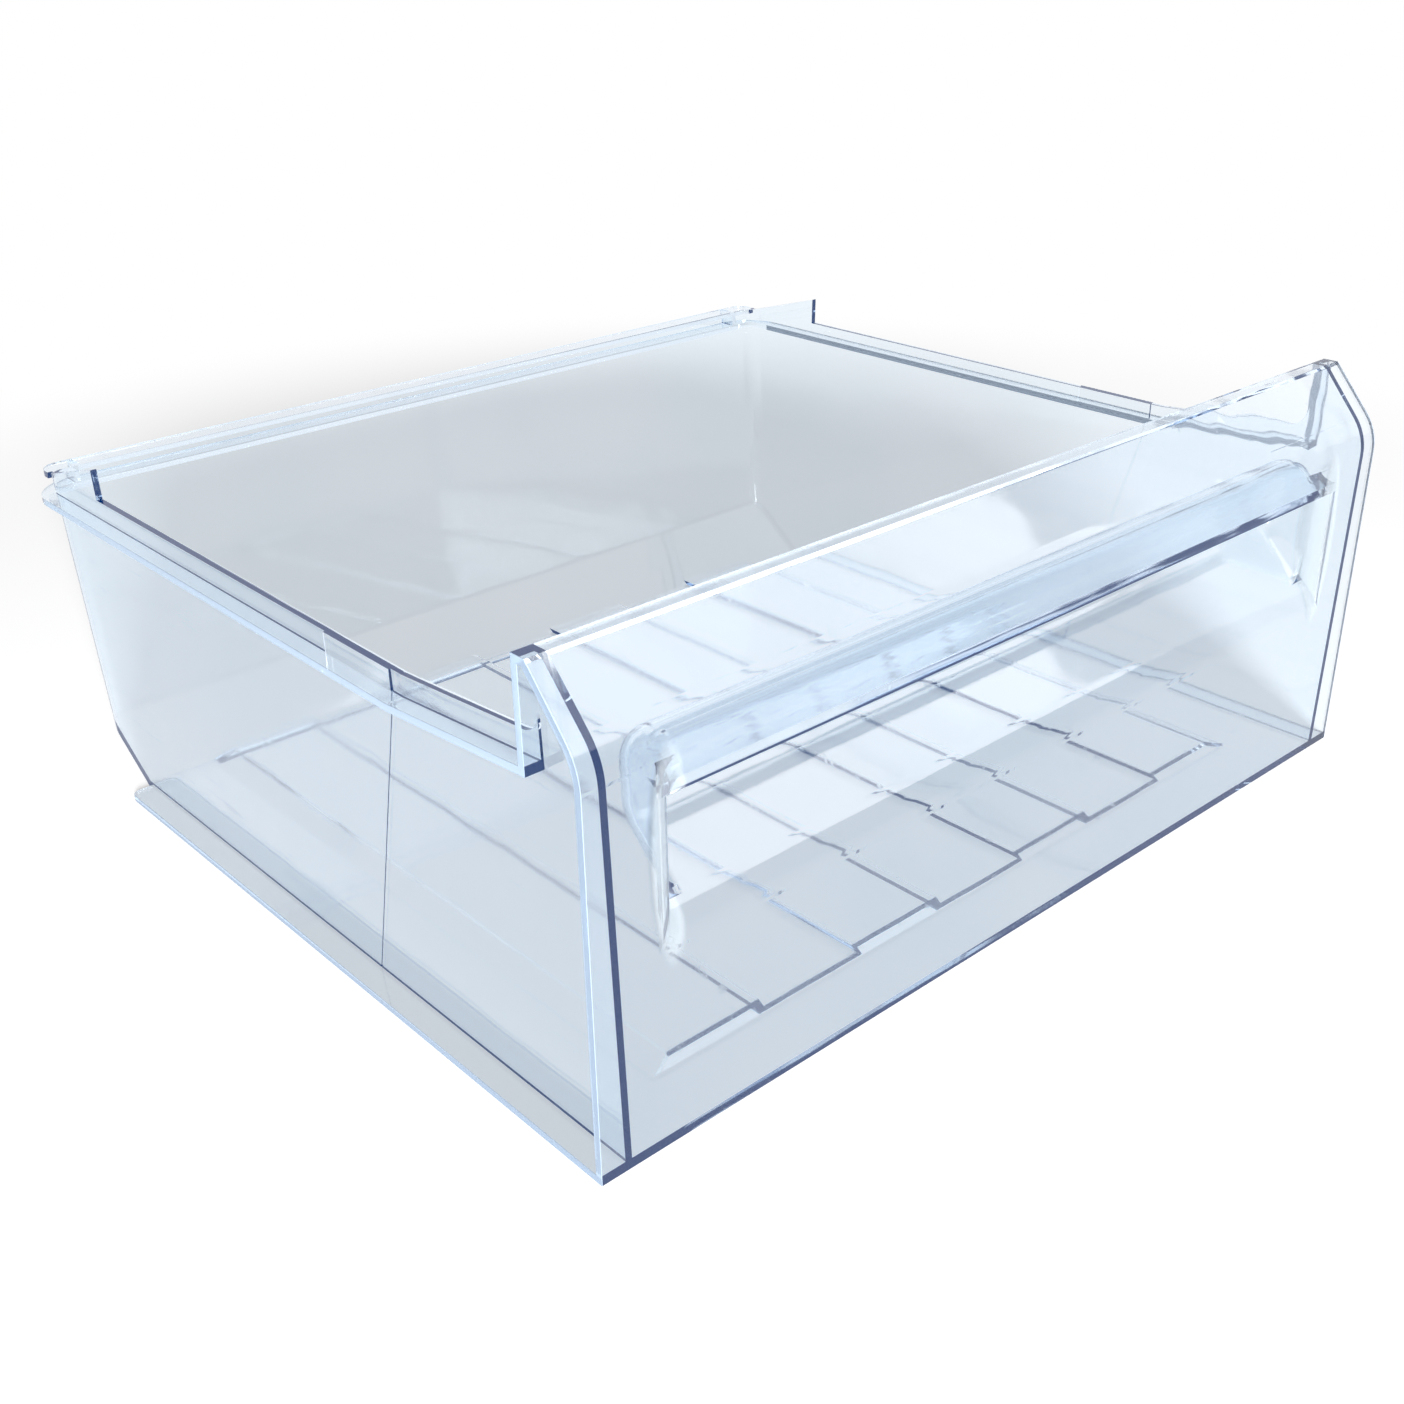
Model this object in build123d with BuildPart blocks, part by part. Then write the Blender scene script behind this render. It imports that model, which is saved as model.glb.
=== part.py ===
"""Freezer drawer, moulded in one piece from clear plastic.

X runs across the drawer, Y from the front panel to the rear, Z up. The origin lies on
the ground under the middle of the drawer.
"""

import os
from math import cos, radians, sin, tan

from build123d import *

# Overall sizes
panel_width = 405.0  # front panel, also across the rails and the foot flanges
panel_height = 162.5
depth = 364.0  # front face of the panel to the rear edge of the rim
wall = 2.5  # every plate of the moulding

# Open box behind the panel
floor_width = 385.0  # outside of the side walls at the ground
side_draft = 1.43  # outward lean of each side wall, degrees
rear_draft = 4.5  # backward lean of the rear wall, degrees
side_height = 130.5
corner_radius = 8.0  # upright rear corners, outside
bevel_height = 22.5  # sloping plate between the floor and the rear wall
bevel_run = 31.0
rim_overhang = 8.0  # rear rim, behind the top of the rear wall
rim_rib_spacing = 364.0  # between the two upright ribs under the rim

# Front panel
bend_height = 138.5  # where the upright part would meet the leaning part
lean = 41.3  # leaning part, degrees from upright
bend_radius = 22.0
brow_reach = 27.0  # rear edge of the top lip and of the end plates, behind the front face
cheek_radius = 8.0  # between a side wall's top and the upright edge at its front

# Rails along the side walls, and the stops over their rear ends
rail_height = 120.8  # underside of the rail
rail_rise = 5.5  # how much the rail and the wall above it climb towards the front
rail_rise_start = 94.0  # behind the front face
rail_corner_radius = 22.0
stop_height = 142.6
stop_front = 307.0  # behind the front face
stop_ramp = 44.0
pad_front = 100.0  # thicker stretch of the wall over each rail, behind the front face
pad_length = 38.0
pad_rise = 0.8

# Foot flanges beside the floor
foot_length = 312.0
foot_corner_radius = 4.0

# Finger recess in the panel
recess_width = 340.0
recess_bottom = 77.0  # where the slope would meet the front face
recess_depth = 26.0  # from the front face to the back of the recess
recess_top = 128.0
lip_edge = 119.6  # lower edge of the panel's lip over the recess
recess_slope_radius = 14.0
recess_back_radius = 9.0
hook_run = 12.5  # from the front face to where the slanting ceiling levels off
hook_radius = 6.0
recess_end_radius = 7.0
mouth_radius = 7.0  # rounding of the panel into the upright ends of the recess
sill_radius = 20.0

# Raised strips of the floor
strip_count = 7
strip_pitch = 44.8
strip_front = 26.0  # foot of the slope in front of the strips, behind the front face
high_strip_rise = 2.8
low_strip_rise = 1.1
strip_front_run = 4.0
strip_side_run = 9.0
strip_margin = 5.0  # hollow under the strips, short of the rear slope

# Mould seams on the outside of the side walls
seam_width = 0.6
seam_depth = 0.3
seam_top = 101.0  # behind the front face
seam_foot = 134.0

# Worked out from the sizes above
front = -depth / 2
edge = panel_width / 2
draft_run = tan(radians(side_draft))
rear_run = tan(radians(rear_draft))
lean_run = tan(radians(lean))
rear_top = depth - rim_overhang
rear_foot = rear_top - (side_height - bevel_height) * rear_run
bevel_foot = rear_foot - bevel_run
overshoot = 40.0  # how far a cutting shape reaches past the part

# Side view: first coordinate behind the front face, second above the ground
side_view = Plane(origin=(0, front, 0), x_dir=(0, 1, 0), z_dir=(1, 0, 0))


def half_width(height):
    """Outside of a side wall at this height, from the middle of the drawer."""
    return floor_width / 2 + height * draft_run


def rear_at(height):
    """Outside of the rear wall at this height, behind the front face."""
    return rear_top + (height - side_height) * rear_run


def box_section(inset):
    """Side view of the box, with all its plates thinned away by the inset."""
    top = panel_height + 2 * inset
    with BuildSketch() as section:
        with BuildLine():
            Polyline(
                (0, 0),
                (bevel_foot, 0),
                (rear_foot, bevel_height),
                (rear_at(top), top),
                ((top - bend_height) * lean_run, top),
                (0, bend_height),
                close=True,
            )
        make_face()
        fillet(section.vertices().sort_by_distance((0, bend_height))[0], bend_radius)
        if inset:
            offset(amount=-inset, mode=Mode.REPLACE)
    return section.sketch


def box_body(inset):
    """The box as a full block, or as the room inside its plates."""
    top = panel_height + 2 * inset
    with BuildPart() as body:
        with BuildSketch(side_view):
            add(box_section(inset))
        extrude(amount=panel_width, both=True)
        with BuildSketch(Plane.XZ):
            with BuildLine():
                Polyline(
                    (half_width(-overshoot) - inset, -overshoot),
                    (half_width(top) - inset, top),
                    (inset - half_width(top), top),
                    (inset - half_width(-overshoot), -overshoot),
                    close=True,
                )
            make_face()
        extrude(amount=depth, both=True, mode=Mode.INTERSECT)
        corners = body.edges().filter_by(lambda e: abs(e.center().X) > floor_width / 4)
        uprights = corners.filter_by(lambda e: abs(e.tangent_at(0.5).Z) > abs(e.tangent_at(0.5).Y))
        fillet(uprights.group_by(Axis.Y)[-1], corner_radius - inset)
    return body.part


def recess_section():
    """Side view of the finger room: a soft sill, a slope, a rounded back, a ceiling down to the lip."""
    with BuildSketch() as section:
        with BuildLine():
            Polyline(
                (-overshoot, recess_bottom - sill_radius),
                (0, recess_bottom - sill_radius),
                (0, recess_bottom),
                (recess_depth, recess_bottom + recess_depth),
                (recess_depth, recess_top),
                (hook_run, recess_top),
                (wall, lip_edge),
                (-overshoot, lip_edge),
                close=True,
            )
        make_face()
        for corner, radius in (
            ((0, recess_bottom), sill_radius),
            ((recess_depth, recess_bottom + recess_depth), recess_slope_radius),
            ((recess_depth, recess_top), recess_back_radius),
            ((hook_run, recess_top), hook_radius),
        ):
            fillet(section.vertices().sort_by_distance(corner)[0], radius)
    return section.sketch


def recess_body(growth):
    """The finger room, or the block of its plates when grown by their thickness."""
    with BuildPart() as body:
        with BuildSketch(side_view):
            add(recess_section())
            if growth:
                offset(amount=growth, mode=Mode.REPLACE)
        extrude(amount=recess_width / 2 + growth, both=True)
        for end in (body.faces().sort_by(Axis.X)[0], body.faces().sort_by(Axis.X)[-1]):
            behind = end.edges().filter_by(lambda e: e.bounding_box().max.Y > front + 2 * wall)
            fillet(behind, recess_end_radius + growth)
        add(recess_mouth(growth))
    return body.part


def recess_mouth(growth):
    """The front of the finger room, which widens to its rounded ends."""
    reach = recess_width / 2 + mouth_radius
    with BuildPart() as mouth:
        with BuildSketch(side_view):
            add(recess_section())
            if growth:
                offset(amount=growth, mode=Mode.REPLACE)
        extrude(amount=reach, both=True)
        with BuildSketch():
            with Locations((0, front)):
                Rectangle(2 * reach, 2 * mouth_radius)
            with Locations((-reach, front + mouth_radius), (reach, front + mouth_radius)):
                Circle(mouth_radius - growth, mode=Mode.SUBTRACT)
        extrude(amount=panel_height, mode=Mode.INTERSECT)
    return mouth.part


def recess_plates():
    """The plates round the finger room, behind the panel's front face."""
    with BuildPart() as plates:
        add(recess_body(wall))
        add(box_body(0), mode=Mode.INTERSECT)
    return plates.part


def raised_field(base, rear, spread):
    """The strips raised over this height, up to the rear; low strips are wider by the spread."""
    field_width = strip_count * strip_pitch
    with BuildPart() as field:
        with BuildSketch(Plane.XY.offset(base)):
            with Locations((0, front + (strip_front + rear) / 2)):
                Rectangle(field_width + strip_side_run, rear - strip_front)
        with BuildSketch(Plane.XY.offset(base + high_strip_rise)):
            with Locations((0, front + (strip_front + strip_front_run + rear) / 2)):
                Rectangle(field_width - strip_side_run, rear - strip_front - strip_front_run)
        loft()
        with BuildSketch(Plane.XY.offset(base + low_strip_rise)):
            with Locations((0, front + rear / 2)):
                with GridLocations(2 * strip_pitch, 0, strip_count // 2, 1):
                    Rectangle(strip_pitch + 2 * spread, 2 * rear)
        extrude(amount=high_strip_rise, mode=Mode.SUBTRACT)
        add(box_body(0), mode=Mode.INTERSECT)
    return field.part


def panel_section():
    """Side view of the panel plate with its top lip."""
    with BuildSketch() as section:
        add(box_section(0))
        add(box_section(wall), mode=Mode.SUBTRACT)
        Rectangle(brow_reach, panel_height, align=Align.MIN, mode=Mode.INTERSECT)
        with BuildLine():
            Polyline(
                ((panel_height - bend_height) * lean_run, panel_height),
                (brow_reach, panel_height),
                (brow_reach, panel_height - wall),
                ((panel_height - wall - bend_height) * lean_run, panel_height - wall),
                close=True,
            )
        make_face()
    return section.sketch


def trim_section():
    """Side view of what is taken off above the side walls, the stops and the rear rim."""
    with BuildSketch() as section:
        with BuildLine():
            Polyline(
                (brow_reach, panel_height + overshoot),
                (brow_reach, side_height + rail_rise),
                (rail_rise_start, side_height),
                (stop_front, side_height),
                (stop_front, stop_height),
                (stop_front + stop_ramp, side_height),
                (depth + overshoot, side_height),
                (depth + overshoot, panel_height + overshoot),
                close=True,
            )
        make_face()
        cheek = section.vertices().sort_by_distance((brow_reach, side_height + rail_rise))[0]
        fillet(cheek, cheek_radius)
    return section.sketch


def climbing_rail_section():
    """Side view of the front stretch of a rail and of the end plate that closes it."""
    with BuildSketch() as section:
        with BuildLine():
            Polyline(
                (brow_reach - wall, rail_height + rail_rise),
                (brow_reach, rail_height + rail_rise),
                (rail_rise_start, rail_height),
                (rail_rise_start, rail_height + wall),
                (brow_reach, rail_height + rail_rise + wall),
                (brow_reach, panel_height),
                (brow_reach - wall, panel_height),
                close=True,
            )
        make_face()
    return section.sketch


with BuildPart() as drawer:
    # Box, cut down to the height of its walls
    add(box_body(0))
    with BuildSketch(side_view):
        add(trim_section())
    extrude(amount=panel_width, both=True, mode=Mode.SUBTRACT)

    # Foot flanges, level with the floor
    with BuildSketch() as feet:
        with Locations((0, front)):
            Rectangle(panel_width, foot_length, align=(Align.CENTER, Align.MIN))
        fillet(feet.vertices().group_by(Axis.Y)[-1], foot_corner_radius)
    extrude(amount=wall)

    # Rails: a climbing stretch at the front, then level and round the rear corners
    with BuildSketch(side_view):
        add(climbing_rail_section())
    extrude(amount=edge, both=True)
    with BuildSketch(Plane.XY.offset(rail_height)) as rail:
        with Locations((0, front + rail_rise_start)):
            Rectangle(panel_width, depth - rail_rise_start, align=(Align.CENTER, Align.MIN))
        fillet(rail.vertices().group_by(Axis.Y)[-1], rail_corner_radius)
    extrude(amount=wall)

    # Thicker stretch of the wall over each rail
    with BuildSketch(side_view):
        with Locations((pad_front, rail_height)):
            Rectangle(pad_length, side_height - rail_height, align=Align.MIN)
    extrude(amount=half_width(side_height) + pad_rise, both=True)

    # Rear rim with its two ribs
    with BuildSketch(Plane.XY.offset(side_height - wall)) as rim:
        with Locations((0, front + depth)):
            Rectangle(
                2 * half_width(side_height),
                rim_overhang + wall,
                align=(Align.CENTER, Align.MAX),
            )
        fillet(rim.vertices().group_by(Axis.Y)[-1], corner_radius)
    extrude(amount=wall)
    with BuildSketch(Plane.XY.offset(rail_height)):
        with Locations((0, front + depth)):
            with GridLocations(rim_rib_spacing, 0, 2, 1):
                Rectangle(wall, rim_overhang + wall, align=(Align.CENTER, Align.MAX))
    extrude(amount=side_height - rail_height)

    # Room inside the box
    add(box_body(wall), mode=Mode.SUBTRACT)

    # Front panel, wider than the box
    with BuildSketch(side_view):
        add(panel_section())
    extrude(amount=edge, both=True)

    # Finger recess: plates behind the panel, then the room for the fingers
    add(recess_plates())
    add(recess_body(0), mode=Mode.SUBTRACT)

    # Raised strips, hollow underneath
    add(raised_field(wall, bevel_foot + bevel_run / 2, 0))
    add(raised_field(0, bevel_foot - strip_margin, wall), mode=Mode.SUBTRACT)

    # Seams on the outside of the side walls
    for side in (-1, 1):
        lean_out = radians(side_draft)
        outer_face = Plane(
            origin=(side * half_width(0), front, 0),
            x_dir=(0, side, 0),
            z_dir=(side * cos(lean_out), 0, -sin(lean_out)),
        )
        with BuildSketch(outer_face):
            with BuildLine():
                Polyline(
                    (side * (seam_foot - seam_width / 2), wall),
                    (side * (seam_foot + seam_width / 2), wall),
                    (side * (seam_top + seam_width / 2), rail_height),
                    (side * (seam_top - seam_width / 2), rail_height),
                    close=True,
                )
            make_face()
        extrude(amount=-seam_depth, mode=Mode.SUBTRACT)

drawer.part.label = "drawer"
os.makedirs("parts", exist_ok=True)
export_step(drawer.part, "parts/drawer.step")
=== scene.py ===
"""Looks of the freezer drawer: clear blue-tinted plastic on a pale studio floor."""

from math import cos, radians, sin

import bpy
from mathutils import Matrix, Vector

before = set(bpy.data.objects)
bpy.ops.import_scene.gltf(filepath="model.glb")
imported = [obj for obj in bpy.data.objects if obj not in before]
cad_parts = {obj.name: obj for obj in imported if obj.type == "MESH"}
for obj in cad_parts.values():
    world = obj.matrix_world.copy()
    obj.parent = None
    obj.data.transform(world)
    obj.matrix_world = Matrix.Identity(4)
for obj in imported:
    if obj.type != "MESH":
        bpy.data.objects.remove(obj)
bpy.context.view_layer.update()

scene = bpy.context.scene
scene.view_settings.view_transform = "Standard"

# Light runs far along inside the clear plates; the floor gets no bright spots through them
BOUNCES = 10
scene.cycles.max_bounces = BOUNCES
scene.cycles.glossy_bounces = BOUNCES
scene.cycles.transmission_bounces = BOUNCES
scene.cycles.caustics_refractive = False
scene.cycles.caustics_reflective = False

# Camera at the photo's view
CAMERA_AT = Vector((-0.42229, -0.47703, 0.34118))
AZIMUTH, ELEVATION, ROLL = radians(-41.599), radians(26.642), radians(-0.98)
SENSOR_MM = 36.0
FOCAL_PIXELS, PHOTO_PIXELS = 1650.6, 1404
NEAREST = 0.01

back = Vector((sin(AZIMUTH) * cos(ELEVATION), -cos(AZIMUTH) * cos(ELEVATION), sin(ELEVATION)))
level_right = (-back).cross(Vector((0, 0, 1))).normalized()
level_down = (-back).cross(level_right)
right = cos(ROLL) * level_right - sin(ROLL) * level_down
down = sin(ROLL) * level_right + cos(ROLL) * level_down
lens = bpy.data.cameras.new("camera")
lens.sensor_width = SENSOR_MM
lens.lens = FOCAL_PIXELS / PHOTO_PIXELS * SENSOR_MM
lens.clip_start = NEAREST
camera = bpy.data.objects.new("camera", lens)
turn = Matrix((right, -down, back)).transposed().to_4x4()
camera.matrix_world = Matrix.Translation(CAMERA_AT) @ turn
scene.collection.objects.link(camera)
scene.camera = camera

# Sockets of a mix node that mixes colours
COLOUR_A, COLOUR_B, COLOUR_RESULT = 6, 7, 2


def new_material(name):
    """A material with an empty node tree, whose glow shows but isn't sampled as a lamp."""
    material = bpy.data.materials.new(name)
    material.use_nodes = True
    material.cycles.emission_sampling = "NONE"
    tree = material.node_tree
    tree.nodes.clear()
    return material, tree


def node(tree, kind, **values):
    """A node with some of its properties set."""
    made = tree.nodes.new(kind)
    for key, value in values.items():
        setattr(made, key, value)
    return made


def calc(tree, operation, first, second=None):
    """A maths node on one or two sockets."""
    made = node(tree, "ShaderNodeMath", operation=operation)
    tree.links.new(first, made.inputs[0])
    if second is not None:
        tree.links.new(second, made.inputs[1])
    return made.outputs[0]


def ramp(tree, value, start, end, low=0.0, high=1.0):
    """Goes smoothly from low to high while the value goes from start to end."""
    made = node(tree, "ShaderNodeMapRange", interpolation_type="SMOOTHSTEP")
    made.inputs["From Min"].default_value = start
    made.inputs["From Max"].default_value = end
    made.inputs["To Min"].default_value = low
    made.inputs["To Max"].default_value = high
    tree.links.new(value, made.inputs[0])
    return made.outputs[0]


def apart(tree, vector, middle, reach):
    """How far a place is from a middle, in shares of the reach along each axis."""
    made = node(tree, "ShaderNodeMapping", vector_type="TEXTURE")
    made.inputs["Location"].default_value = middle
    made.inputs["Scale"].default_value = reach
    tree.links.new(vector, made.inputs["Vector"])
    length = node(tree, "ShaderNodeVectorMath", operation="LENGTH")
    tree.links.new(made.outputs[0], length.inputs[0])
    return length.outputs["Value"]


def mixed(tree, share, first, second):
    """A colour socket mixed with a fixed colour by a share."""
    made = node(tree, "ShaderNodeMix", data_type="RGBA")
    tree.links.new(share, made.inputs["Factor"])
    tree.links.new(first, made.inputs[COLOUR_A])
    made.inputs[COLOUR_B].default_value = second
    return made.outputs[COLOUR_RESULT]


def noise(tree, vector, scale, detail):
    """Cloudy noise, about 0.2 to 0.8."""
    made = node(tree, "ShaderNodeTexNoise")
    made.inputs["Scale"].default_value = scale
    made.inputs["Detail"].default_value = detail
    tree.links.new(vector, made.inputs["Vector"])
    return made.outputs["Fac"]


def seen_ray(tree):
    """1 for the rays that show the background: camera, glossy and transmission."""
    path = node(tree, "ShaderNodeLightPath")
    direct = calc(tree, "MAXIMUM", path.outputs["Is Camera Ray"], path.outputs["Is Glossy Ray"])
    return calc(tree, "MAXIMUM", direct, path.outputs["Is Transmission Ray"])


def choose(tree, share, first, second):
    """The first shader where the share is 0, the second where it is 1."""
    made = node(tree, "ShaderNodeMixShader")
    tree.links.new(share, made.inputs[0])
    tree.links.new(first, made.inputs[1])
    tree.links.new(second, made.inputs[2])
    return made.outputs[0]


# Clear plastic; a weak painted glow, light the plastic gives off though it is no lamp, adds up
# to blue where light is caught in the depth of its plates
PLASTIC_IOR = 1.57
PAINTED_GLOW_COLOUR = (0.0, 0.25, 1.0, 1)
PAINTED_GLOW_STRENGTH = 0.014
DEPTH_COLOUR = (0.25, 0.55, 0.85, 1)
DEPTH_DENSITY = 14.0

plastic, tree = new_material("clear_plastic")
links = tree.links
place = node(tree, "ShaderNodeTexCoord").outputs["Object"]
out = node(tree, "ShaderNodeOutputMaterial")
skin = node(tree, "ShaderNodeBsdfPrincipled")
skin.inputs["IOR"].default_value = PLASTIC_IOR
# Painted glow: the plastic gives off faint blue light of its own
skin.inputs["Emission Color"].default_value = PAINTED_GLOW_COLOUR
skin.inputs["Emission Strength"].default_value = PAINTED_GLOW_STRENGTH
links.new(skin.outputs[0], out.inputs["Surface"])
inside = node(tree, "ShaderNodeVolumeAbsorption")
inside.inputs["Color"].default_value = DEPTH_COLOUR
inside.inputs["Density"].default_value = DEPTH_DENSITY
links.new(inside.outputs[0], out.inputs["Volume"])

# Cloudy tint from the flow of the melt
TINTS = ((0.35, (0.875, 0.93, 0.955, 1)), (0.68, (0.915, 0.955, 0.975, 1)))

clouds = noise(tree, place, scale=9.0, detail=2.0)
tint = node(tree, "ShaderNodeValToRGB")
for stop, (position, colour) in zip(tint.color_ramp.elements, TINTS):
    stop.position = position
    stop.color = colour
links.new(clouds, tint.inputs[0])

# The outer rims of the panel, the rails and the foot flanges are made satin and painted pale
# blue, a painted glow for the light caught in the plates and seen at their edges
PLATE_EDGE = 0.2024  # just inside the outermost faces, from the middle
RIM_FADE = 0.0003
PAINTED_RIM_LIGHT_COLOUR = (0.55, 0.72, 0.92, 1)
RIM_CLEARNESS = 0.35

axes = node(tree, "ShaderNodeSeparateXYZ")
links.new(place, axes.inputs[0])
aside = calc(tree, "ABSOLUTE", axes.outputs["X"])
rim = ramp(tree, aside, PLATE_EDGE - RIM_FADE, PLATE_EDGE)
# Painted pale blue on the rims over the cloudy tint, standing in for light caught in the plates
tint_with_painted_rims = mixed(tree, rim, tint.outputs[0], PAINTED_RIM_LIGHT_COLOUR)
rim_clear = ramp(tree, rim, 0, 1, 1.0, RIM_CLEARNESS)

# The rounded ends of the finger recess are made a little satin too, and painted pale: a painted
# sheen for their highlights, which also lightens the dark knots there
RECESS_END = (0.1725, -0.182, 0.100)  # the right one; the left one is its mirror image
RECESS_END_REACH = (0.0070, 0.011, 0.034)
RECESS_END_FADE = (1.2, 0.8)
RECESS_END_PAINTED_SHEEN = (0.86, 0.94, 0.98, 1)
RECESS_END_CLEARNESS = 0.78

mirrored = node(tree, "ShaderNodeCombineXYZ")
links.new(aside, mirrored.inputs["X"])
links.new(axes.outputs["Y"], mirrored.inputs["Y"])
links.new(axes.outputs["Z"], mirrored.inputs["Z"])
from_end = apart(tree, mirrored.outputs[0], RECESS_END, RECESS_END_REACH)
end = ramp(tree, from_end, *RECESS_END_FADE)
# Painted pale sheen on the recess ends, over the tint and the painted rims
tint_with_painted_rims_and_ends = mixed(tree, end, tint_with_painted_rims, RECESS_END_PAINTED_SHEEN)
end_clear = ramp(tree, end, 0, 1, 1.0, RECESS_END_CLEARNESS)
links.new(tint_with_painted_rims_and_ends, skin.inputs["Base Color"])
links.new(calc(tree, "MULTIPLY", rim_clear, end_clear), skin.inputs["Transmission Weight"])

# Gloss with faint smears and fine scuffs along the drawer
SMEAR_NOISE, SMEAR_ROUGHNESS = (0.3, 0.7), (0.02, 0.05)
SCUFF_NOISE, SCUFF_ROUGHNESS = (0.62, 0.75), (0.0, 0.10)
SCUFF_STRETCH = (60.0, 4.0, 60.0)

stretch = node(tree, "ShaderNodeMapping")
stretch.inputs["Scale"].default_value = SCUFF_STRETCH
links.new(place, stretch.inputs["Vector"])
scuffs = noise(tree, stretch.outputs[0], scale=6.0, detail=2.0)
smear = ramp(tree, clouds, *SMEAR_NOISE, *SMEAR_ROUGHNESS)
scuffed = ramp(tree, scuffs, *SCUFF_NOISE, *SCUFF_ROUGHNESS)
links.new(calc(tree, "ADD", smear, scuffed), skin.inputs["Roughness"])

# Slight waviness of the moulded faces, more of it at the panel's upper right
WAVE_NOISE, WAVE_HEIGHT = (0.2, 0.8), (-0.3, 0.3)
WAVE_STRENGTH = 0.25
WAVE_DEPTH = 0.0006
WAVY_CORNER = (0.150, -0.165, 0.155)
WAVY_REACH = (0.070, 0.040, 0.032)
WAVY_FADE = (1.2, 0.6)
WAVY_TIMES = 10.0

waves = noise(tree, place, scale=28.0, detail=1.0)
height = ramp(tree, waves, *WAVE_NOISE, *WAVE_HEIGHT)
swell = ramp(tree, apart(tree, place, WAVY_CORNER, WAVY_REACH), *WAVY_FADE, 1.0, WAVY_TIMES)
bump = node(tree, "ShaderNodeBump")
bump.inputs["Strength"].default_value = WAVE_STRENGTH
bump.inputs["Distance"].default_value = WAVE_DEPTH
links.new(calc(tree, "MULTIPLY", height, swell), bump.inputs["Height"])
links.new(bump.outputs[0], skin.inputs["Normal"])

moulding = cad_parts["drawer"]
moulding.data.materials.clear()
moulding.data.materials.append(plastic)

# Floor: matte around the drawer, where it takes the shadow, and white farther out
FLOOR_RADIUS = 14.0
FLOOR_SIDES = 96
FLOOR_BELOW = 0.0004
FLOOR_GREY = (0.8, 0.8, 0.8, 1)
FLOOR_GLOW = 0.64
SHADOW_MIDDLE = (0.08, 0.11, 0.0)
WHITE_FROM, WHITE_AT = 0.40, 0.68  # from the middle of the shadow

ground, tree = new_material("studio_floor")
links = tree.links
out = node(tree, "ShaderNodeOutputMaterial")
matte = node(tree, "ShaderNodeBsdfDiffuse")
matte.inputs["Color"].default_value = FLOOR_GREY
glow = node(tree, "ShaderNodeEmission")
glow.inputs["Strength"].default_value = FLOOR_GLOW
shaded = node(tree, "ShaderNodeAddShader")
links.new(matte.outputs[0], shaded.inputs[0])
links.new(glow.outputs[0], shaded.inputs[1])
white = node(tree, "ShaderNodeEmission")
distance = node(tree, "ShaderNodeVectorMath", operation="DISTANCE")
distance.inputs[1].default_value = SHADOW_MIDDLE
links.new(node(tree, "ShaderNodeTexCoord").outputs["Object"], distance.inputs[0])
farther = ramp(tree, distance.outputs["Value"], WHITE_FROM, WHITE_AT)
shown = choose(tree, farther, shaded.outputs[0], white.outputs[0])
picked = choose(tree, seen_ray(tree), matte.outputs[0], shown)
links.new(picked, out.inputs["Surface"])

bpy.ops.mesh.primitive_circle_add(
    vertices=FLOOR_SIDES, radius=FLOOR_RADIUS, fill_type="NGON", location=(0, 0, -FLOOR_BELOW)
)
floor = bpy.context.object
floor.name = "floor"
floor.data.materials.append(ground)

# World: white where it is seen, and a little ambient light
AMBIENT_COLOUR = (0.95, 0.97, 1.0, 1)
AMBIENT_STRENGTH = 0.03

world = bpy.data.worlds.new("studio")
scene.world = world
world.use_nodes = True
world.cycles.sampling_method = "NONE"
tree = world.node_tree
tree.nodes.clear()
out = node(tree, "ShaderNodeOutputWorld")
ambient = node(tree, "ShaderNodeBackground")
ambient.inputs["Color"].default_value = AMBIENT_COLOUR
ambient.inputs["Strength"].default_value = AMBIENT_STRENGTH
white = node(tree, "ShaderNodeBackground")
white.inputs["Color"].default_value = (1, 1, 1, 1)
picked = choose(tree, seen_ray(tree), ambient.outputs[0], white.outputs[0])
tree.links.new(picked, out.inputs["Surface"])


def softbox(name, at, aim, size, power):
    """A rectangular lamp that points from one place to another."""
    lamp = bpy.data.lights.new(name, "AREA")
    lamp.shape = "RECTANGLE"
    lamp.size, lamp.size_y = size
    lamp.energy = power
    made = bpy.data.objects.new(name, lamp)
    made.location = at
    made.rotation_euler = (Vector(aim) - Vector(at)).to_track_quat("-Z", "Y").to_euler()
    scene.collection.objects.link(made)
    return made


# A low key lamp casts the shadow behind the drawer; two dim softboxes show in reflections only
FILL_LEFT_AT, FILL_LEFT_AIM = (1.0, -1.45, 1.8), (0, -0.15, 0.1)
FILL_RIGHT_AT, FILL_RIGHT_AIM = (2.2, -1.05, 1.25), (0.15, -0.15, 0.1)

softbox("key", at=(-1.25, -2.2, 0.8), aim=(0, 0, 0), size=(0.6, 0.6), power=122)
fills = (
    softbox("fill_left", FILL_LEFT_AT, FILL_LEFT_AIM, size=(1.7, 2.2), power=26),
    softbox("fill_right", FILL_RIGHT_AT, FILL_RIGHT_AIM, size=(0.9, 2.0), power=2.2),
)
for fill in fills:
    fill.visible_diffuse = False
